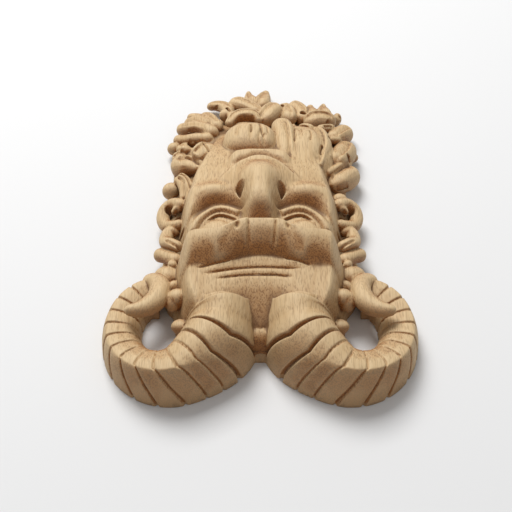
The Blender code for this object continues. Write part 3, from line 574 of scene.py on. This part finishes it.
def carve(mesh):  # grooves and drilled pits, cut straight down
    points = np.empty(3 * len(mesh.vertices), np.float32)
    mesh.vertices.foreach_get("co", points)
    points = points.reshape(-1, 3).astype(float)
    normals = np.array([normal.vector[2] for normal in mesh.vertex_normals])
    facing = ease(0, 0.3, normals)
    x, y = points[:, 0], points[:, 1]
    for path, width, depth in cuts:
        points[:, 2] -= depth * facing * gouge(x, y, path, width)
    for lock in hair["locks"]:
        line = np.array(lock, float)
        thick = line[:, 3].max()
        if thick < shell["from"]:
            continue
        forward = np.gradient(line[:, :2], axis=0)
        aside = forward[:, ::-1] * (-1, 1) / np.linalg.norm(forward, axis=1)[:, None]
        line[:, :2] += shell["offset"] * line[:, 3:] * aside
        away, share, side = nearest(x, y, line, thick)
        reach = shell["width"] * thick * np.where(side > 0, 0.25, 1)
        near = ease(1.6 * thick, thick, np.abs(points[:, 2] - line[:, 2].mean()))
        step = np.clip(1 - away / reach, 0, 1) * ease(0, 0.2, share) * ease(0, 0.2, 1 - share) * near
        points[:, 2] -= shell["depth"] * thick * facing * step
    for (px, py), size, depth in pits:
        away = np.hypot(x - px, y - py)
        hole = np.clip(1 - (away / size) ** 2, 0, 1) ** 0.5
        room = np.maximum(points[:, 2] - carving["pitFloor"], 0)
        points[:, 2] -= np.minimum(depth, room) * facing * hole
    mesh.vertices.foreach_set("co", points.astype(np.float32).ravel())
    mesh.update()


def finished(mesh):  # smoothed, thinned, in metres, flat at the back
    piece = bpy.data.objects.new("carvedMask", mesh)
    bpy.context.scene.collection.objects.link(piece)
    soften = piece.modifiers.new("soften", "SMOOTH")
    soften.iterations = carving["smoothing"]
    thin = piece.modifiers.new("thin", "DECIMATE")
    thin.ratio = min(1, carving["triangles"] / (2 * len(mesh.polygons)))
    piece.data = evaluated(piece)
    piece.modifiers.clear()
    bm = bmesh.new()
    bm.from_mesh(piece.data)
    bmesh.ops.scale(bm, vec=(mm, mm, mm), verts=bm.verts)
    bmesh.ops.translate(bm, vec=(0, -middleY * mm, 0), verts=bm.verts)
    bmesh.ops.dissolve_degenerate(bm, dist=carving["speck"] * mm, edges=bm.edges)
    whole = bm.verts[:] + bm.edges[:] + bm.faces[:]
    bmesh.ops.bisect_plane(bm, geom=whole, plane_co=(0, 0, 0), plane_no=(0, 0, 1), clear_inner=True)
    bmesh.ops.triangle_fill(bm, use_beauty=True, edges=[edge for edge in bm.edges if edge.is_boundary])
    bmesh.ops.recalc_face_normals(bm, faces=bm.faces)
    bm.to_mesh(piece.data)
    bm.free()
    piece.data.shade_smooth()
    return piece


def markHollows(mesh):  # how far, in millimetres, each point lies below a smoothed copy of the surface
    count = len(mesh.vertices)
    points = np.empty(3 * count)
    mesh.vertices.foreach_get("co", points)
    points = points.reshape(-1, 3)
    normals = np.array([normal.vector[:] for normal in mesh.vertex_normals])
    ends = np.empty(2 * len(mesh.edges), int)
    mesh.edges.foreach_get("vertices", ends)
    first, second = ends.reshape(-1, 2).T
    neighbours = np.bincount(ends, minlength=count)[:, None]
    soft = points
    for step in range(wood["hollowRounds"]):
        sums = [
            np.bincount(first, axis[second], count) + np.bincount(second, axis[first], count)
            for axis in soft.T
        ]
        soft = np.stack(sums, 1) / neighbours
    depth = ((soft - points) * normals).sum(1) / mm
    mesh.attributes.new("hollow", "FLOAT", "POINT").data.foreach_set("value", depth.astype(np.float32))


class Wire:  # an output socket that sums and products can be written with
    def __init__(self, tree, socket):
        self.tree, self.socket = tree, socket

    def math(self, kind, other, swap=False):
        first, second = (other, self) if swap else (self, other)
        return addNode(self.tree, "ShaderNodeMath", {"operation": kind}, {0: first, 1: second})

    def __add__(self, other):
        return self.math("ADD", other)

    def __radd__(self, other):
        return self.math("ADD", other, True)

    def __sub__(self, other):
        return self.math("SUBTRACT", other)

    def __rsub__(self, other):
        return self.math("SUBTRACT", other, True)

    def __mul__(self, other):
        return self.math("MULTIPLY", other)

    def __rmul__(self, other):
        return self.math("MULTIPLY", other, True)

    def __abs__(self):
        return self.math("ABSOLUTE", 0)


def addNode(tree, kind, settings, inputs, output=0):
    made = tree.nodes.new(kind)
    for name, value in settings.items():
        setattr(made, name, value)
    for name, value in inputs.items():
        if isinstance(value, Wire):
            tree.links.new(value.socket, made.inputs[name])
        else:
            made.inputs[name].default_value = value
    return Wire(tree, made.outputs[output])


wood = {
    "face": (0.60, 0.43, 0.235, 1),
    "streak": (0.44, 0.275, 0.125, 1),
    # end grain is darker; this colour also paints shade on the steep faces that look along y
    "endGrainAndShade": (0.31, 0.112, 0.02, 1),
    "pore": (0.15, 0.06, 0.018, 1),
    # painted shade in hollows and grooves
    "creviceShade": (0.12, 0.05, 0.016, 1),
    # painted highlight on ridges and crests
    "edge": (0.68, 0.52, 0.31, 1),
    "hollowRounds": 14,  # of smoothing, to find what lies in a hollow
    "roughness": 0.62,
    "specular": 0.35,
    "bump": 0.35,
    "bumpDepth": 0.00015,
}


def oakMaterial():
    material = bpy.data.materials.new("carvedOak")
    material.use_nodes = True
    tree = material.node_tree
    shader = tree.nodes["Principled BSDF"]

    def make(kind, settings, inputs, output=0):
        return addNode(tree, kind, settings, inputs, output)

    def mix(factor, first, second):
        return make("ShaderNodeMix", {"data_type": "RGBA"}, {0: factor, 6: first, 7: second}, 2)

    place = make("ShaderNodeTexCoord", {}, {}, "Object")
    facing = make("ShaderNodeTexCoord", {}, {}, "Normal")

    def along(scale, size, detail=2):  # noise drawn out along the grain
        stretched = make("ShaderNodeVectorMath", {"operation": "MULTIPLY"}, {0: place, 1: scale})
        return make("ShaderNodeTexNoise", {}, {"Vector": stretched, "Scale": size, "Detail": detail})

    def limits(value, low, high):
        return make("ShaderNodeMapRange", {"interpolation_type": "SMOOTHSTEP"}, {0: value, 1: low, 2: high})

    end = make("ShaderNodeSeparateXYZ", {}, {0: facing}, 1)
    # faces that look along y show end grain, darkened further as painted shade
    endGrainAndShade = limits(abs(end), 0.1, 0.85)
    years = limits(along((1, 0.05, 0.9), 700), 0.35, 0.65)
    broad = limits(along((1, 0.1, 1), 60), 0.3, 0.7)
    pores = limits(along((1, 0.07, 1), 1700, 1) + endGrainAndShade * 0.05, 0.52, 0.64)
    colour = mix(years * 0.4 + broad * 0.25, wood["face"], wood["streak"])
    colour = mix(endGrainAndShade * 0.92, colour, wood["endGrainAndShade"])
    colour = mix(pores * (endGrainAndShade * 0.5 + 0.35), colour, wood["pore"])
    hollow = make("ShaderNodeAttribute", {"attribute_name": "hollow"}, {}, 2)
    # painted shade: darker the deeper a point lies in a hollow or groove
    colour = mix(limits(hollow, 0.08, 0.75) * 0.8, colour, wood["creviceShade"])
    # painted highlight: lighter where a point stands above the smoothed surface, on ridges and crests
    colour = mix(limits(hollow * -1, 0.1, 0.7) * 0.35, colour, wood["edge"])
    tree.links.new(colour.socket, shader.inputs["Base Color"])
    shader.inputs["Roughness"].default_value = wood["roughness"]
    shader.inputs["Specular IOR Level"].default_value = wood["specular"]
    grain = {"Strength": wood["bump"], "Distance": wood["bumpDepth"], "Height": years * -0.3 - pores * 0.7}
    bump = make("ShaderNodeBump", {}, grain)
    tree.links.new(bump.socket, shader.inputs["Normal"])
    return material


studio = {
    "floorColour": (0.75, 0.75, 0.75, 1),
    "worldStrength": 0.38,
    "keyPower": 24.5,
    "keyPlace": (-0.35, 0.75, 1.3),
    "keySize": 0.8,
    "fillPower": 0.5,
    "fillPlace": (0.4, -0.7, 0.8),
    "fillSize": 1,
    "floorDrop": 0.0002,
}
view = {
    "elevation": 47,
    "distance": 0.65,
    "aim": (0, -0.0331, 0.015),
    "aimPixel": (260, 255),
    "focal": 1150,  # in pixels of a 512 pixel frame
    "frame": 512,
    "sensor": 36,
}


def addFloor():
    bm = bmesh.new()
    bmesh.ops.create_grid(bm, x_segments=1, y_segments=1, size=3)
    mesh = bpy.data.meshes.new("floor")
    bm.to_mesh(mesh)
    bm.free()
    floor = bpy.data.objects.new("floor", mesh)
    floor.location.z = -studio["floorDrop"]
    bpy.context.scene.collection.objects.link(floor)
    paper = bpy.data.materials.new("paleFloor")
    paper.use_nodes = True
    shader = paper.node_tree.nodes["Principled BSDF"]
    shader.inputs["Base Color"].default_value = studio["floorColour"]
    shader.inputs["Roughness"].default_value = 0.9
    mesh.materials.append(paper)


def addLight(name, place, power, size):
    lamp = bpy.data.lights.new(name, "AREA")
    lamp.energy = power
    lamp.size = size
    light = bpy.data.objects.new(name, lamp)
    light.location = place
    light.rotation_euler = (-Vector(place)).to_track_quat("-Z", "Y").to_euler()
    bpy.context.scene.collection.objects.link(light)


def addCamera():
    tilt = math.radians(view["elevation"])
    back = Vector((0, -math.cos(tilt), math.sin(tilt)))
    right = Vector((1, 0, 0))
    up = back.cross(right)
    perPixel = view["distance"] / view["focal"]
    aside = (view["aimPixel"][0] - view["frame"] / 2) * perPixel
    below = (view["aimPixel"][1] - (view["frame"] / 2 - 1)) * perPixel
    data = bpy.data.cameras.new("camera")
    data.sensor_width = view["sensor"]
    data.lens = view["focal"] / view["frame"] * view["sensor"]
    camera = bpy.data.objects.new("camera", data)
    place = Vector(view["aim"]) + back * view["distance"] - right * aside + up * below
    camera.matrix_world = Matrix.Translation(place) @ Matrix((right, up, back)).transposed().to_4x4()
    bpy.context.scene.collection.objects.link(camera)
    bpy.context.scene.camera = camera


def addWorld():
    world = bpy.data.worlds.new("studio")
    world.use_nodes = True
    background = world.node_tree.nodes["Background"]
    background.inputs["Color"].default_value = (1, 1, 1, 1)
    background.inputs["Strength"].default_value = studio["worldStrength"]
    bpy.context.scene.world = world
    bpy.context.scene.view_settings.view_transform = "Standard"


addCamera()
addWorld()
addFloor()
addLight("key", studio["keyPlace"], studio["keyPower"], studio["keySize"])
addLight("fill", studio["fillPlace"], studio["fillPower"], studio["fillSize"])
print("stage ready")

mesh = oneSkin()
carve(mesh)
print("cuts made")
mask = finished(mesh)
markHollows(mask.data)
mask.data.materials.clear()
mask.data.materials.append(oakMaterial())
print("mask finished:", len(mask.data.polygons), "faces")
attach(mask, "root")
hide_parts(node)
